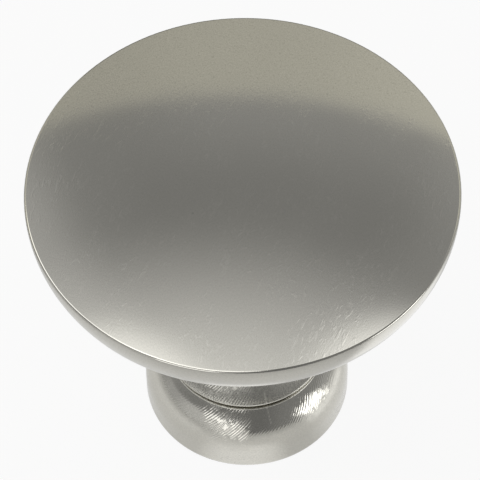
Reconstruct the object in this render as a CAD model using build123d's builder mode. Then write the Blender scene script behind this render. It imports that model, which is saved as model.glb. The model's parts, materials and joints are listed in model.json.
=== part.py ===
from build123d import *
from math import radians, tan
import os

# A mushroom cabinet knob, cast in one piece and tapped for the screw that holds it to a door.
# It stands on the flat of its foot with its face up. The origin is the middle of that flat, +Z runs
# along the knob's axis, and sizes are in millimetres.

# Head: a broad face, slightly crowned, over a rim that draws in towards its lower edge
head_diameter = 32.0
projection = 27.5  # from the flat of the foot to the top of the crown
face_crown = 1.1  # rise of the face from its edge to its middle
face_edge_round = 0.2
rim_depth = 2.9  # from the edge of the face down to the rim's lower edge
rim_draw = 0.7  # how far the rim draws in on the way down
rim_foot_round = 0.5

# Foot: a bun with a flat underside, a short straight side and a round shoulder
foot_diameter = 15.9
foot_edge_round = 0.75
foot_side = 2.2  # height of the edge round and the straight side together
foot_height = 5.7  # up to the groove under the lip
shoulder_width = 1.9  # how far the shoulder draws in from the side

# Bead, groove and lip: fine turned lines between the foot and the neck
bead_diameter = 0.16  # on the inner edge of the shoulder, half sunk in it
groove_width = 0.62
groove_depth = 0.95  # measured in from the edge of the lip
lip_overhang = 0.2  # how far the lip stands out past the top of the shoulder
lip_thickness = 0.22
lip_round = 0.09

# Neck: a cove up from the lip to the waist, and a longer sweep from there to the head
cove_width = 2.2  # how far the cove draws in from the lip
cove_height = 3.8  # from the top of the lip to the waist

# Screw hole: drilled at the tapping size of the screw, blind, with a countersunk mouth
screw_hole_diameter = 3.45
screw_hole_depth = 13.0  # up to the start of the drill's point
screw_mouth_diameter = 4.6
mouth_angle = 90.0
drill_point_angle = 118.0

head_radius = head_diameter / 2
face_edge_z = projection - face_crown
crown = (0, projection)
face_edge = (head_radius, face_edge_z)
rim_top = (head_radius, face_edge_z - face_edge_round)
rim_foot = (head_radius - rim_draw, face_edge_z - rim_depth)

foot_radius = foot_diameter / 2
foot_edge = (foot_radius, 0)
side_top = (foot_radius, foot_side)
shoulder_top = (foot_radius - shoulder_width, foot_height)

lip_radius = shoulder_top[0] + lip_overhang
groove_radius = lip_radius - groove_depth
lip_foot = (lip_radius, foot_height + groove_width)
lip_top = (lip_radius, lip_foot[1] + lip_thickness)
waist = (lip_radius - cove_width, lip_top[1] + cove_height)

screw_hole_radius = screw_hole_diameter / 2
drill_point_height = screw_hole_radius / tan(radians(drill_point_angle / 2))

with BuildPart() as knob:
    # Half of the section, turned about the axis
    with BuildSketch(Plane.XZ) as half_section:
        with BuildLine():
            Polyline((0, 0), foot_edge, side_top)
            TangentArc(side_top, shoulder_top, tangent=(0, 1))
            Polyline(
                shoulder_top,
                (groove_radius, foot_height),
                (groove_radius, lip_foot[1]),
                lip_foot,
                lip_top,
            )
            TangentArc(waist, lip_top, tangent=(0, -1))
            TangentArc(waist, rim_foot, tangent=(0, 1))
            TangentArc(rim_top, rim_foot, tangent=(0, -1))
            Line(rim_top, face_edge)
            TangentArc(crown, face_edge, tangent=(1, 0))
            Line(crown, (0, 0))
        make_face()
        with Locations(shoulder_top):
            Circle(bead_diameter / 2)
        for corner, corner_round in (
            (foot_edge, foot_edge_round),
            (lip_foot, lip_round),
            (lip_top, lip_round),
            (rim_foot, rim_foot_round),
            (face_edge, face_edge_round),
        ):
            fillet(half_section.vertices().sort_by_distance(corner)[0], corner_round)
    revolve(axis=Axis.Z)

    # Screw hole, up from the flat of the foot, with the cone that a drill leaves at its end
    with Locations(Location((0, 0, 0), (180, 0, 0))):
        CounterSinkHole(
            radius=screw_hole_radius,
            counter_sink_radius=screw_mouth_diameter / 2,
            depth=screw_hole_depth,
            counter_sink_angle=mouth_angle,
        )
    with Locations((0, 0, screw_hole_depth)):
        Cone(
            bottom_radius=screw_hole_radius,
            top_radius=0,
            height=drill_point_height,
            align=(Align.CENTER, Align.CENTER, Align.MIN),
            mode=Mode.SUBTRACT,
        )

knob.part.label = "knob"

os.makedirs("parts", exist_ok=True)
export_step(knob.part, "parts/knob.step")
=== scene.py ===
import json
from math import atan2, cos, hypot, pi, radians, sin, sqrt, tan, tau

import bpy
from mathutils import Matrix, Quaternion, Vector
from mathutils.geometry import intersect_sphere_sphere_2d


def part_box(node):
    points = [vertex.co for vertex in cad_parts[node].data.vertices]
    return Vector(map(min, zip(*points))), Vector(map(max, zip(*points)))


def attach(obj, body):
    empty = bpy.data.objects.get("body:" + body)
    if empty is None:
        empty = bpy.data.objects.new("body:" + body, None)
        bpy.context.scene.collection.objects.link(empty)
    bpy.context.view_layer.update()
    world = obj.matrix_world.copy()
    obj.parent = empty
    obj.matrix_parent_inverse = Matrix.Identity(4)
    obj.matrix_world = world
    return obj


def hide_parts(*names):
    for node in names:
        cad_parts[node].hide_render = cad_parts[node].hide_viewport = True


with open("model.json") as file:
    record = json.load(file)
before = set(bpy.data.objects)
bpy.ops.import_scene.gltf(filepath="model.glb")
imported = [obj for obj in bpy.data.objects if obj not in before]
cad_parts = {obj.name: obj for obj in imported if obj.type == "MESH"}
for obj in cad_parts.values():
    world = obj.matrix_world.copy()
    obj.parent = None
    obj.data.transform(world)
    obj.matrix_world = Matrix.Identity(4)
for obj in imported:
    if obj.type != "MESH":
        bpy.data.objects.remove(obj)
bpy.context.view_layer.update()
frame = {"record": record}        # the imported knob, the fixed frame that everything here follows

# The knob's shape: one casting in zinc alloy, with a broad, slightly crowned head on a waisted neck and a
# bun foot. It is turned on a lathe, so half of its section is drawn here, from the crown of the face down
# to the point of the screw hole, and spun about the axis. The screw hole is then tapped.
low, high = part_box("knob")
screw_hole = next(mount for mount in frame["record"]["mounts"] if mount["name"] == "screw_hole")

head_radius = high.x
projection = high.z
face_crown = 0.0011
face_edge_round = 0.0002
rim_depth = 0.0029
rim_draw = 0.0007
rim_foot_round = 0.0005

foot_radius = 0.00795
foot_edge_round = 0.00075
foot_side = 0.0022
foot_height = 0.0057
shoulder_width = 0.0019

bead_radius = 0.00008
groove_width = 0.00062
groove_depth = 0.00095
lip_overhang = 0.0002
lip_thickness = 0.00022
lip_round = 0.00009

cove_width = 0.0022
cove_height = 0.0038

hole_radius = screw_hole["dims"]["r_mm"] / 1000
hole_depth = 0.013
mouth_radius = 0.0023
drill_point_angle = radians(118)

face_edge = Vector((head_radius, projection - face_crown))
rim_top = face_edge - Vector((0, face_edge_round))
rim_foot = face_edge - Vector((rim_draw, rim_depth))
side_top = Vector((foot_radius, foot_side))
shoulder_top = Vector((foot_radius - shoulder_width, foot_height))
lip_radius = shoulder_top.x + lip_overhang
groove_radius = lip_radius - groove_depth
lip_foot = Vector((lip_radius, foot_height + groove_width))
lip_top = lip_foot + Vector((0, lip_thickness))
waist = lip_top + Vector((-cove_width, cove_height))
mouth_top = Vector((hole_radius, mouth_radius - hole_radius))
hole_top = Vector((hole_radius, hole_depth))
drill_point = Vector((0, hole_depth + hole_radius / tan(drill_point_angle / 2)))


def arc_centre(start, heading, end):
    """Centre of the arc that leaves start along heading and comes to end."""
    side = Vector((-heading[1], heading[0]))
    chord = end - start
    return start + side * chord.length_squared / (2 * side.dot(chord))


def eased(steps):
    """Shares of the way from 0 to 1, closer together towards both ends."""
    return [(1 - cos(pi * step / steps)) / 2 for step in range(1, steps + 1)]


def straight(start, end, steps):
    """Points after start on the straight line to end."""
    return [start.lerp(end, share) for share in eased(steps)]


def arc(centre, start, end, steps):
    """Points after start on the shorter arc to end."""
    first = atan2(start.y - centre.y, start.x - centre.x)
    turn = atan2(end.y - centre.y, end.x - centre.x) - first
    turn = (turn + pi) % tau - pi
    radius = (start - centre).length
    angles = [first + turn * share for share in eased(steps)]
    return [centre + radius * Vector((cos(angle), sin(angle))) for angle in angles]


def towards(start, end, length):
    """The point at a length from start, on the way to end and beyond."""
    return start + (end - start).normalized() * length


crown = Vector((0, projection))
crown_centre = arc_centre(crown, (1, 0), face_edge)
rim_centre = arc_centre(rim_top, (0, -1), rim_foot)
neck_centre = arc_centre(waist, (0, 1), rim_foot)
cove_centre = arc_centre(waist, (0, -1), lip_top)
shoulder_centre = arc_centre(side_top, (0, 1), shoulder_top)

# Rounds, each by the centre of a ball that touches the two sides of its corner from within
crown_radius = (crown - crown_centre).length
ball_x = head_radius - face_edge_round
ball_reach = crown_radius - face_edge_round
face_ball = Vector((ball_x, crown_centre.y + sqrt(ball_reach**2 - ball_x**2)))
face_end = towards(crown_centre, face_ball, crown_radius)
face_side = Vector((head_radius, face_ball.y))

rim_radius = (rim_top - rim_centre).length
neck_radius = (waist - neck_centre).length
rim_balls = intersect_sphere_sphere_2d(
    rim_centre, rim_radius - rim_foot_round, neck_centre, neck_radius + rim_foot_round
)
rim_ball = min(rim_balls, key=lambda ball: (ball - rim_foot).length)
rim_end = towards(rim_centre, rim_ball, rim_radius)
neck_start = towards(neck_centre, rim_ball, neck_radius)

cove_radius = (waist - cove_centre).length
ball_x = lip_radius - lip_round
ball_reach = cove_radius + lip_round
lip_ball = Vector((ball_x, cove_centre.y - sqrt(ball_reach**2 - (ball_x - cove_centre.x) ** 2)))
cove_end = towards(cove_centre, lip_ball, cove_radius)
lip_foot_ball = lip_foot + Vector((-lip_round, lip_round))
lip_side_top = Vector((lip_radius, lip_ball.y))
lip_side_foot = Vector((lip_radius, lip_foot_ball.y))
lip_under = Vector((lip_foot_ball.x, lip_foot.y))
groove_top = Vector((groove_radius, lip_foot.y))
groove_foot = Vector((groove_radius, foot_height))

shoulder_radius = (side_top - shoulder_centre).length
bead_ends = intersect_sphere_sphere_2d(shoulder_top, bead_radius, shoulder_centre, shoulder_radius)
bead_end = min(bead_ends, key=lambda end: end.y)
bead_start = shoulder_top - Vector((bead_radius, 0))
bead_crest = shoulder_top + Vector((0, bead_radius))
foot_ball = Vector((foot_radius - foot_edge_round, foot_edge_round))
side_foot = Vector((foot_radius, foot_ball.y))
flat_edge = Vector((foot_ball.x, 0))
mouth_edge = Vector((mouth_radius, 0))

# Thread: an 8-32 screw's, cut into the drilled wall
thread_pitch = 0.0254 / 32
thread_depth = 0.00036
tapped_depth = 0.0115
thread_run_out = 0.0012
thread_flank = 1.4
thread_root = 0.2
points_per_turn = 12
mouth_steps = 8

tapped_end = Vector((hole_radius, tapped_depth))
wall_steps = round((tapped_depth - mouth_top.y) / thread_pitch * points_per_turn)

half_section = [
    *arc(crown_centre, crown, face_end, 44),
    *arc(face_ball, face_end, face_side, 14),
    *straight(face_side, rim_top, 1),
    *arc(rim_centre, rim_top, rim_end, 14),
    *arc(rim_ball, rim_end, neck_start, 12),
    *arc(neck_centre, neck_start, waist, 40),
    *arc(cove_centre, waist, cove_end, 24),
    *arc(lip_ball, cove_end, lip_side_top, 6),
    *straight(lip_side_top, lip_side_foot, 2),
    *arc(lip_foot_ball, lip_side_foot, lip_under, 6),
    *straight(lip_under, groove_top, 2),
    *straight(groove_top, groove_foot, 2),
    *straight(groove_foot, bead_start, 2),
    *arc(shoulder_top, bead_start, bead_crest, 6),
    *arc(shoulder_top, bead_crest, bead_end, 8),
    *arc(shoulder_centre, bead_end, side_top, 26),
    *straight(side_top, side_foot, 6),
    *arc(foot_ball, side_foot, flat_edge, 12),
    *straight(flat_edge, mouth_edge, 10),
    *[mouth_edge.lerp(mouth_top, step / mouth_steps) for step in range(1, mouth_steps + 1)],
    *[mouth_top.lerp(tapped_end, step / wall_steps) for step in range(1, wall_steps + 1)],
    *straight(tapped_end, hole_top, 4),
    *straight(hole_top, drill_point, 4),
]

bpy.ops.object.select_all(action="DESELECT")
bpy.ops.mesh.primitive_plane_add(size=head_radius, enter_editmode=True)
knob = bpy.context.object
knob.name = "turned_knob"
bpy.ops.mesh.merge(type="CENTER")
bpy.ops.transform.translate(value=(0, 0, projection))
pen = crown
for point in half_section:
    step = point - pen
    bpy.ops.mesh.extrude_vertices_move(TRANSFORM_OT_translate={"value": (step.x, 0, step.y)})
    pen = point

spin_steps = 144
weld_distance = 1e-6
crease_angle = radians(40)
bpy.ops.mesh.select_all(action="SELECT")
bpy.ops.mesh.spin(steps=spin_steps, angle=tau, center=(0, 0, 0), axis=(0, 0, 1))
bpy.ops.mesh.select_all(action="SELECT")
bpy.ops.mesh.remove_doubles(threshold=weld_distance)
bpy.ops.mesh.normals_make_consistent(inside=False)
bpy.ops.object.mode_set(mode="OBJECT")

for vertex in knob.data.vertices:
    x, y, z = vertex.co
    radius = hypot(x, y)
    if 0 < radius <= mouth_radius and 0 < z < tapped_depth:
        phase = (z / thread_pitch - atan2(y, x) / tau) % 1
        tooth = min(max(thread_flank * (1 - abs(2 * phase - 1)) - thread_root, 0), 1)
        run_out = min((tapped_depth - z) / thread_run_out, 1)
        cut = max(hole_radius + thread_depth * tooth * run_out, radius) / radius
        vertex.co = (x * cut, y * cut, z)

bpy.ops.object.shade_smooth_by_angle(angle=crease_angle)
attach(knob, "root")
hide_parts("knob")

# The knob's finish: nickel plate under a thin clear lacquer. It is brushed in straight strokes across the
# face and in slanting lines round the foot, harder in two patches at the front, and the neck is left less
# polished. The lines are fine scratches that spread a reflection, and a few show by themselves.
satin_nickel = bpy.data.materials.new("satin_nickel")


class Signal:
    """A node's output. Maths on signals adds Math nodes to the same tree."""

    def __init__(self, tree, socket):
        self.tree = tree
        self.socket = socket

    def node(self, kind, settings=None, inputs=None, output=0):
        """Adds a node of a kind, with its settings set first and its sockets set or linked."""
        made = self.tree.nodes.new(kind)
        for name, value in (settings or {}).items():
            setattr(made, name, value)
        for name, value in (inputs or {}).items():
            if isinstance(value, Signal):
                self.tree.links.new(value.socket, made.inputs[name])
            else:
                made.inputs[name].default_value = value
        return Signal(self.tree, made.outputs[output])

    def maths(self, operation, first, second=0.0):
        """A Math node's operation on one or two signals or numbers."""
        return self.node("ShaderNodeMath", {"operation": operation}, {0: first, 1: second})

    def __add__(self, other):
        return self.maths("ADD", self, other)

    def __radd__(self, other):
        return self.maths("ADD", other, self)

    def __sub__(self, other):
        return self.maths("SUBTRACT", self, other)

    def __rsub__(self, other):
        return self.maths("SUBTRACT", other, self)

    def __mul__(self, other):
        return self.maths("MULTIPLY", self, other)

    def __rmul__(self, other):
        return self.maths("MULTIPLY", other, self)

    def part(self, axis):
        """One of a vector's three numbers, by its letter."""
        return self.node("ShaderNodeSeparateXYZ", None, {"Vector": self}, axis)

    def rise(self, start, end):
        """0 below start and 1 above end, with a smooth rise between."""
        limits = {"Value": self, "From Min": start, "From Max": end}
        return self.node("ShaderNodeMapRange", {"interpolation_type": "SMOOTHSTEP"}, limits)

    def blend(self, first, second):
        """A colour from first, where this is 0, to second, where it is 1."""
        colours = {"Factor": self, 6: first, 7: second}
        return self.node("ShaderNodeMix", {"data_type": "RGBA"}, colours, 2)


def start_tree(owner, kind, output):
    """Empties an owner's node tree and gives a node's output to begin from."""
    owner.use_nodes = True
    owner.node_tree.nodes.clear()
    return Signal(owner.node_tree, owner.node_tree.nodes.new(kind).outputs[output])


def end_tree(shader, kind):
    """Gives a finished shader to the tree's output node."""
    output = shader.tree.nodes.new(kind)
    shader.tree.links.new(shader.socket, output.inputs["Surface"])


place = start_tree(satin_nickel, "ShaderNodeTexCoord", "Object")
height = place.part("Z")

brush_slant = radians(-20)


def face_noise(mark_size, detail, distortion):
    """Noise in marks of a size, in metres, laid along the brush strokes of the face."""
    along_strokes = place.node(
        "ShaderNodeMapping",
        {"vector_type": "TEXTURE"},
        {"Vector": place, "Rotation": (0, 0, brush_slant), "Scale": mark_size},
    )
    return place.node(
        "ShaderNodeTexNoise",
        None,
        {"Vector": along_strokes, "Scale": 1.0, "Detail": detail, "Distortion": distortion},
    )


# Marks on the face, by their width and length: grain, strokes, wisps where the brush bit, and a faint cloud
grain_size = (0.00009, 0.00016, 1)
stroke_size = (0.00013, 0.00035, 1)
wisp_size = (0.00035, 0.0011, 1)
cloud_size = (0.004, 0.006, 1)
grain = face_noise(grain_size, detail=2.0, distortion=0.0)
cloud = face_noise(cloud_size, detail=2.0, distortion=0.0)
stroke = face_noise(stroke_size, detail=2.0, distortion=0.4) * cloud.rise(0.3, 0.6)
wisp = face_noise(wisp_size, detail=3.0, distortion=1.2).rise(0.52, 0.72) * cloud.rise(0.36, 0.56)

# Specks, where the face passes close to one of a scatter of points
speck_cells_per_metre = 190.0
speck_core = 0.012
speck_edge = 0.024
dust = place.node(
    "ShaderNodeTexVoronoi", None, {"Vector": place, "Scale": speck_cells_per_metre}, "Distance"
)
speck = 1 - dust.rise(speck_core, speck_edge)

# Lines round the foot: a fine hatch that winds up the side, wanders, and fades here and there
hatch_twist = -160.0  # radians for each metre of height
hatch_count = 170
hatch_wander = 8.0
wander_count = 8.0
wander_length = 0.003
least_hatch = 0.25
breaks_per_metre = 2400.0
wound = place.node(
    "ShaderNodeVectorRotate", {"rotation_type": "Z_AXIS"}, {"Vector": place, "Angle": height * hatch_twist}
)
flattened = place.node("ShaderNodeVectorMath", {"operation": "MULTIPLY"}, {0: wound, 1: (1, 1, 0)})
around = place.node("ShaderNodeVectorMath", {"operation": "NORMALIZE"}, {0: flattened})
wander_steps = (0, 0, 1 / (wander_count * wander_length))
raised = place.node("ShaderNodeVectorMath", {"operation": "MULTIPLY"}, {0: place, 1: wander_steps})
wander_place = place.node("ShaderNodeVectorMath", {"operation": "ADD"}, {0: around, 1: raised})
wander = place.node(
    "ShaderNodeTexNoise", None, {"Vector": wander_place, "Scale": wander_count, "Detail": 1.0}
)
turn = place.maths("ARCTAN2", wound.part("Y"), wound.part("X"))
hatch = place.maths("SINE", turn * hatch_count + wander * hatch_wander)
breaks = place.node("ShaderNodeTexNoise", None, {"Vector": place, "Scale": breaks_per_metre, "Detail": 1.0})
broken_hatch = hatch * (least_hatch + (1 - least_hatch) * breaks.rise(0.35, 0.6))

# Two patches at the front of the foot, where the brush was pressed harder
left_patch_middle = -0.0017
left_patch_core = 0.0009
left_patch_reach = 0.0024
right_patch_start = 0.0028
right_patch_full = 0.0042
front_full = -0.004
front_end = -0.001
plain_pressure = 0.2
left_pressure = 1.3
right_pressure = 0.4
sideways = place.part("X")
off_left_middle = place.maths("ABSOLUTE", sideways - left_patch_middle)
left_patch = 1 - off_left_middle.rise(left_patch_core, left_patch_reach)
right_patch = sideways.rise(right_patch_start, right_patch_full)
at_front = 1 - place.part("Y").rise(front_full, front_end)
pressure = plain_pressure + at_front * (left_pressure * left_patch + right_pressure * right_patch)
foot_lines = broken_hatch * pressure

# Where each kind of mark lies, and how deep it is
grain_depth = 0.0000008
stroke_depth = 0.000001
wisp_depth = 0.0000012
foot_line_depth = 0.0000065
rim_line_depth = 0.0000006
on_face = height.rise(face_edge.y - face_edge_round, face_edge.y - 0.3 * face_edge_round)
on_rim = height.rise(rim_foot.y - rim_draw, rim_foot.y)
on_neck = height.rise(lip_top.y - lip_round, lip_top.y) * (1 - on_rim)
line_depth = (1 - on_rim) * foot_line_depth + on_rim * rim_line_depth
face_relief = grain * grain_depth + wisp * wisp_depth + stroke * stroke_depth
relief = on_face * face_relief + (1 - on_face) * foot_lines * line_depth
brushed = place.node("ShaderNodeBump", None, {"Strength": 1.0, "Distance": 1.0, "Height": relief})

# One small scratch, down over the lip and the shoulder of the foot
scratch_azimuth = radians(14)
scratch_lean = 0.06
scratch_foot = 0.0046
scratch_top = 0.0072
scratch_fade = 0.0003
scratch_core = 0.00003
scratch_edge = 0.00009
scratch_side_fade = 0.001
across = place.node(
    "ShaderNodeVectorRotate", {"rotation_type": "Z_AXIS"}, {"Vector": place, "Angle": -scratch_azimuth}
)
beside = place.maths("ABSOLUTE", across.part("X") + scratch_lean * (height - foot_height))
above_end = height.rise(scratch_foot, scratch_foot + scratch_fade)
below_end = 1 - height.rise(scratch_top - scratch_fade, scratch_top)
near_side = 1 - across.part("Y").rise(-scratch_side_fade, 0.0)
scratch = (1 - beside.rise(scratch_core, scratch_edge)) * above_end * below_end * near_side
scratch = scratch * (0.7 + 0.3 * hatch)

# Roughness and colour: the far side of the face is grainier, with fine dark pits
plate_roughness = 0.13
face_polish = 0.05
lacquer_weight = 0.2
lacquer_roughness = 0.06
dark_nickel = (0.584, 0.572, 0.519, 1)
light_nickel = (0.788, 0.77, 0.706, 1)
fine_marks_per_metre = 8000.0
far_side_start = 0.005
far_side_full = 0.009
fine = place.node(
    "ShaderNodeTexNoise", None, {"Vector": place, "Scale": fine_marks_per_metre, "Detail": 1.0}
)
neck_roughness = on_neck * (0.02 + 0.24 * fine)
roughness = plate_roughness - face_polish * on_face + 0.03 * cloud + 0.2 * scratch + neck_roughness
far_side = place.part("Y").rise(far_side_start, far_side_full)
pits = far_side * fine.rise(0.6, 0.75)
face_marks = (0.5 + far_side) * (grain - 0.5) + 0.12 * wisp - 0.5 * speck - 0.8 * pits
side_marks = 0.9 * (fine - 0.5)
lightness = 0.5 + 0.1 * (cloud - 0.5) + on_face * face_marks + (1 - on_face) * side_marks + 0.5 * scratch
nickel = lightness.blend(dark_nickel, light_nickel)
metal = place.node(
    "ShaderNodeBsdfPrincipled",
    None,
    {
        "Base Color": nickel,
        "Metallic": 1.0,
        "Roughness": roughness,
        "Normal": brushed,
        "Coat Weight": lacquer_weight,
        "Coat Roughness": lacquer_roughness,
    },
)
end_tree(metal, "ShaderNodeOutputMaterial")
knob.data.materials.append(satin_nickel)

# The floor: a wide sheet of white card that the knob stands on. To the camera it is almost plain white,
# and a share of its own shading keeps the knob's shadow. In the metal it shows painted light: a plain glow,
# strongest all round the foot, in front of it and at its sides, paints pools of window light on a pale
# table.
floor_radius = 3.0
floor_sides = 96
floor_white = (0.78, 0.78, 0.78, 1)
camera_share = 0.92
round_glow_full, round_glow_end = 0.015, 0.045
close_glow_full, close_glow_end = 0.0105, 0.016
outer_glow_start, outer_glow_full = 0.012, 0.018
outer_glow_fade, outer_glow_end = 0.04, 0.08

bpy.ops.object.select_all(action="DESELECT")
bpy.ops.mesh.primitive_circle_add(
    vertices=floor_sides, radius=floor_radius, fill_type="NGON", location=(0, 0, low.z)
)
floor = bpy.context.object
floor.name = "floor"
card = bpy.data.materials.new("white_card")
ray = start_tree(card, "ShaderNodeLightPath", "Is Camera Ray")
glossy = Signal(ray.tree, ray.socket.node.outputs["Is Glossy Ray"])
through = Signal(ray.tree, ray.socket.node.outputs["Is Transmission Ray"])
shaded = ray.node("ShaderNodeBsdfDiffuse", None, {"Color": floor_white})
plain = ray.node("ShaderNodeEmission", None, {"Color": (1, 1, 1, 1), "Strength": 1.0})
spot = ray.node("ShaderNodeTexCoord", None, None, "Object")
reach = ray.node("ShaderNodeVectorMath", {"operation": "LENGTH"}, {0: spot}, 1)
bearing = ray.node("ShaderNodeVectorMath", {"operation": "NORMALIZE"}, {0: spot})


def facing(direction, azimuth, elevation):
    """How nearly a direction points at an azimuth, from +Y towards +X, and an elevation, both in degrees.
    Straight at it is 1."""
    level = cos(radians(elevation))
    aim = (level * sin(radians(azimuth)), level * cos(radians(azimuth)), sin(radians(elevation)))
    return direction.node("ShaderNodeVectorMath", {"operation": "DOT_PRODUCT"}, {0: direction, 1: aim}, 1)


def patch(direction, azimuth, elevation, full, end):
    """A round patch of directions: 1 within full degrees of its middle, and 0 past end degrees."""
    return facing(direction, azimuth, elevation).rise(cos(radians(end)), cos(radians(full)))


# Painted light: these shares of plain glow are seen only in the metal and paint pools of window light near
# the foot.
rightness = bearing.part("X")
right_glow = 0.33 * rightness.rise(0.6, 0.95)
left_glow = 0.06 * (1 - rightness.rise(-0.98, -0.75))
front_glow = 0.42 * patch(bearing, -176, 0, 0, 32)
outer_glow = 0.75 * patch(bearing, 104, 0, 14, 32) + 0.1 * patch(bearing, -110, 0, 15, 40)
painted_round_glow = 0.38 * (1 - reach.rise(round_glow_full, round_glow_end))
close_by = 1 - reach.rise(close_glow_full, close_glow_end)
further_out = reach.rise(outer_glow_start, outer_glow_full)
further_out = further_out * (1 - reach.rise(outer_glow_fade, outer_glow_end))
painted_glow_share = painted_round_glow + (front_glow + right_glow + left_glow) * close_by + outer_glow * further_out
mirrored = ray.maths("MAXIMUM", glossy, through)
share = ray * camera_share + (1 - ray) * painted_glow_share * mirrored
end_tree(ray.node("ShaderNodeMixShader", None, {0: share, 1: shaded, 2: plain}), "ShaderNodeOutputMaterial")
floor.data.materials.append(card)

# The room: the world, which lights the knob and shows in its metal. A warm wall stands behind and ends
# level at half height, a pale wall with a slanting top stands at the left, and the front is dim. A soft
# light hangs overhead, cut off at the right, with smaller lights around it.
room_light = 0.17
room_white = (1, 1, 1, 1)
wall_cream = (1.0, 0.98, 0.88, 1)

room = bpy.data.worlds.new("room")
bpy.context.scene.world = room
direction = start_tree(room, "ShaderNodeTexCoord", "Generated")
rightward = direction.part("X")
backward = direction.part("Y")
skyward = direction.part("Z")


def under(level, full, end):
    """From a level, the sine of an elevation: 1 under full degrees, and 0 over end degrees."""
    return 1 - level.rise(sin(radians(full)), sin(radians(end)))


# Lights: the overhead one has its rise end past 1, so that it grows all the way to its middle
overhead = facing(direction, -90, 85.5).rise(cos(radians(33)), 1.03)
cut_off = rightward.rise(-0.02, 0.08) * (1 - backward.rise(0.06, 0.2))
top = direction.maths("MAXIMUM", patch(direction, -60, 84.5, 8, 15.5), patch(direction, -95, 80, 10, 17.5))
front_left = direction.maths(
    "MAXIMUM", patch(direction, -142, 64, 6, 11), patch(direction, -108, 62, 8, 13.5)
)
front = patch(direction, -171, 66, 5, 10)
upper_right = patch(direction, 42, 70.5, 4, 9.5)
upper_left = patch(direction, -45, 72, 5, 11)
left_pane = patch(direction, -62, 50.5, 10.5, 18.5)

# Walls: the two edges are where the wall behind meets the sides and is lighter
behind = backward.rise(0.2, 0.5)
wall_level = facing(direction, -90, 87.4)
wall = behind * under(wall_level, 44.3, 45.7)
wall_glow = behind * under(wall_level, 46, 56)
wall_foot = behind * under(skyward, 26, 35)
left_edge = behind * facing(direction, -109, 0).rise(0.0, 0.11)
left_edge_glow = behind * facing(direction, -100, 0).rise(0.0, 0.2)
right_edge = behind * facing(direction, 109, 0).rise(0.0, 0.11)
left_wall = under(facing(direction, -66, 72.5), 33.2, 36.4) * (1 - rightward.rise(-0.18, -0.02))
left_wall = left_wall * (1 - 0.55 * backward.rise(-0.5, -0.1)) * (1 - backward.rise(0.0, 0.3))
right_wall = facing(direction, 111, 0).rise(0, 0.15) * under(skyward, 14, 24)
right_wall = right_wall * backward.rise(-0.75, -0.35)
room_sides = direction.maths("ABSOLUTE", rightward).rise(0.2, 0.6)

brightness = (
    room_light
    + 0.065 * backward.rise(-0.4, 0.2)
    + wall * (0.19 + 0.08 * rightward.rise(0.03, 0.28))
    + 0.07 * wall_glow * rightward.rise(-0.25, 0.0)
    - 0.3 * wall_foot
    + 0.18 * left_edge
    + 0.05 * left_edge_glow
    + 0.05 * right_edge
    + 0.33 * left_wall
    + 0.12 * right_wall
    + 0.06 * room_sides
    + 0.8 * overhead * (1 - cut_off)
    + 0.25 * top
    + 1.5 * front_left
    + 1.5 * front
    + 0.8 * upper_right
    + 0.7 * upper_left
    + 1.2 * left_pane
)
tint = wall.blend(room_white, wall_cream)
glow = direction.node("ShaderNodeVectorMath", {"operation": "SCALE"}, {0: tint, "Scale": brightness})
end_tree(direction.node("ShaderNodeBackground", None, {"Color": glow}), "ShaderNodeOutputWorld")

# The windows: two low bright panes, one in front to the left and one at the right, that stand away from
# the knob and face it. Their reflections are the highlights on the foot, which show its slanting brush
# lines.
lamp_distance = 0.7


def window_lamp(name, azimuth, elevation, lean, width, tall, power):
    """A pane of light at an azimuth, from +Y towards +X, and an elevation, leaning over, all in degrees."""
    level = cos(radians(elevation))
    aim = Vector((level * sin(radians(azimuth)), level * cos(radians(azimuth)), sin(radians(elevation))))
    leaning = Quaternion((0, 0, 1), radians(lean))
    bpy.ops.object.light_add(type="AREA", location=aim * lamp_distance)
    lamp = bpy.context.object
    lamp.name = name
    lamp.rotation_euler = (aim.to_track_quat("Z", "Y") @ leaning).to_euler()
    lamp.data.shape = "RECTANGLE"
    lamp.data.size = width
    lamp.data.size_y = tall
    lamp.data.energy = power


window_lamp("front_window", azimuth=-155, elevation=15, lean=0, width=0.31, tall=0.36, power=0.32)
window_lamp("right_window", azimuth=113, elevation=7, lean=22, width=0.34, tall=0.26, power=0.64)

# The camera: a long lens that looks down on the face from in front, turned a little from level. Its place
# and aim give the outlines of the head and the foot that the photograph shows.
eye = Vector((0, -0.146339, 0.230203))
aim_point = Vector((-0.000269, -0.004561, 0.0264))
camera_roll = Quaternion((0, 0, 1), radians(-1.489))
view_angle = radians(8)

bpy.ops.object.camera_add(location=eye)
camera = bpy.context.object
camera.data.angle = view_angle
camera.rotation_euler = ((aim_point - eye).to_track_quat("-Z", "Y") @ camera_roll).to_euler()
bpy.context.scene.camera = camera
bpy.context.scene.view_settings.view_transform = "Standard"
